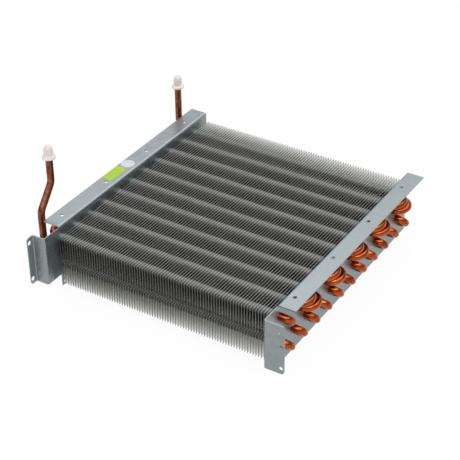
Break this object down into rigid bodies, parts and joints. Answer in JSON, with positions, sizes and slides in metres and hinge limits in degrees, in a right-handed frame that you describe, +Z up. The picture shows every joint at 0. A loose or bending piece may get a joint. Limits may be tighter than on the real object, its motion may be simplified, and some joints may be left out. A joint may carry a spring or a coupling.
{
  "type": "condenser coil",
  "caption": "Fin and tube condenser coil: copper hairpins through aluminium fins between flanged galvanised tube sheets, with capped copper pipe stubs.",
  "frame": {"origin": "centre of the rectangle of the four outer flange holes, on the top face of the flanges", "axes": "+Z up, +X across the coil from the pipe stubs' side to the hairpins' round ends, +Y along the coil away from the near upright"},
  "size_m": [0.3252, 0.3196, 0.1531],
  "materials": {
    "galvanised_sheet": "bright galvanised",
    "fin_aluminium": "mill bright",
    "copper_tube": "bare drawn copper",
    "cap_plastic": "milky soft plastic",
    "label_film": "printed film",
    "sticker_film": "plain film"
  },
  "bodies": {
    "root": {"tube_sheet_left": "galvanised_sheet", "tube_sheet_right": "galvanised_sheet", "fins_upper": "fin_aluminium", "fins_lower": "fin_aluminium", "hairpin_01": "copper_tube", "hairpin_02": "copper_tube", "hairpin_03": "copper_tube", "hairpin_04": "copper_tube", "hairpin_05": "copper_tube", "hairpin_06": "copper_tube", "hairpin_07": "copper_tube", "hairpin_08": "copper_tube", "hairpin_09": "copper_tube", "hairpin_10": "copper_tube", "hairpin_11": "copper_tube", "hairpin_12": "copper_tube", "hairpin_13": "copper_tube", "hairpin_14": "copper_tube", "hairpin_15": "copper_tube", "hairpin_16": "copper_tube", "hairpin_17": "copper_tube", "hairpin_18": "copper_tube", "hairpin_19": "copper_tube", "hairpin_20": "copper_tube", "hairpin_21": "copper_tube", "hairpin_22": "copper_tube", "return_bend_01": "copper_tube", "return_bend_02": "copper_tube", "return_bend_03": "copper_tube", "return_bend_04": "copper_tube", "return_bend_05": "copper_tube", "return_bend_06": "copper_tube", "return_bend_07": "copper_tube", "return_bend_08": "copper_tube", "return_bend_09": "copper_tube", "return_bend_10": "copper_tube", "return_bend_11": "copper_tube", "return_bend_12": "copper_tube", "return_bend_13": "copper_tube", "return_bend_14": "copper_tube", "return_bend_15": "copper_tube", "return_bend_16": "copper_tube", "return_bend_17": "copper_tube", "return_bend_18": "copper_tube", "return_bend_19": "copper_tube", "return_bend_20": "copper_tube", "return_bend_21": "copper_tube", "inlet_stub": "copper_tube", "outlet_stub": "copper_tube", "inlet_cap": "cap_plastic", "outlet_cap": "cap_plastic", "label": "label_film", "round_sticker": "sticker_film"}
  },
  "joints": []
}
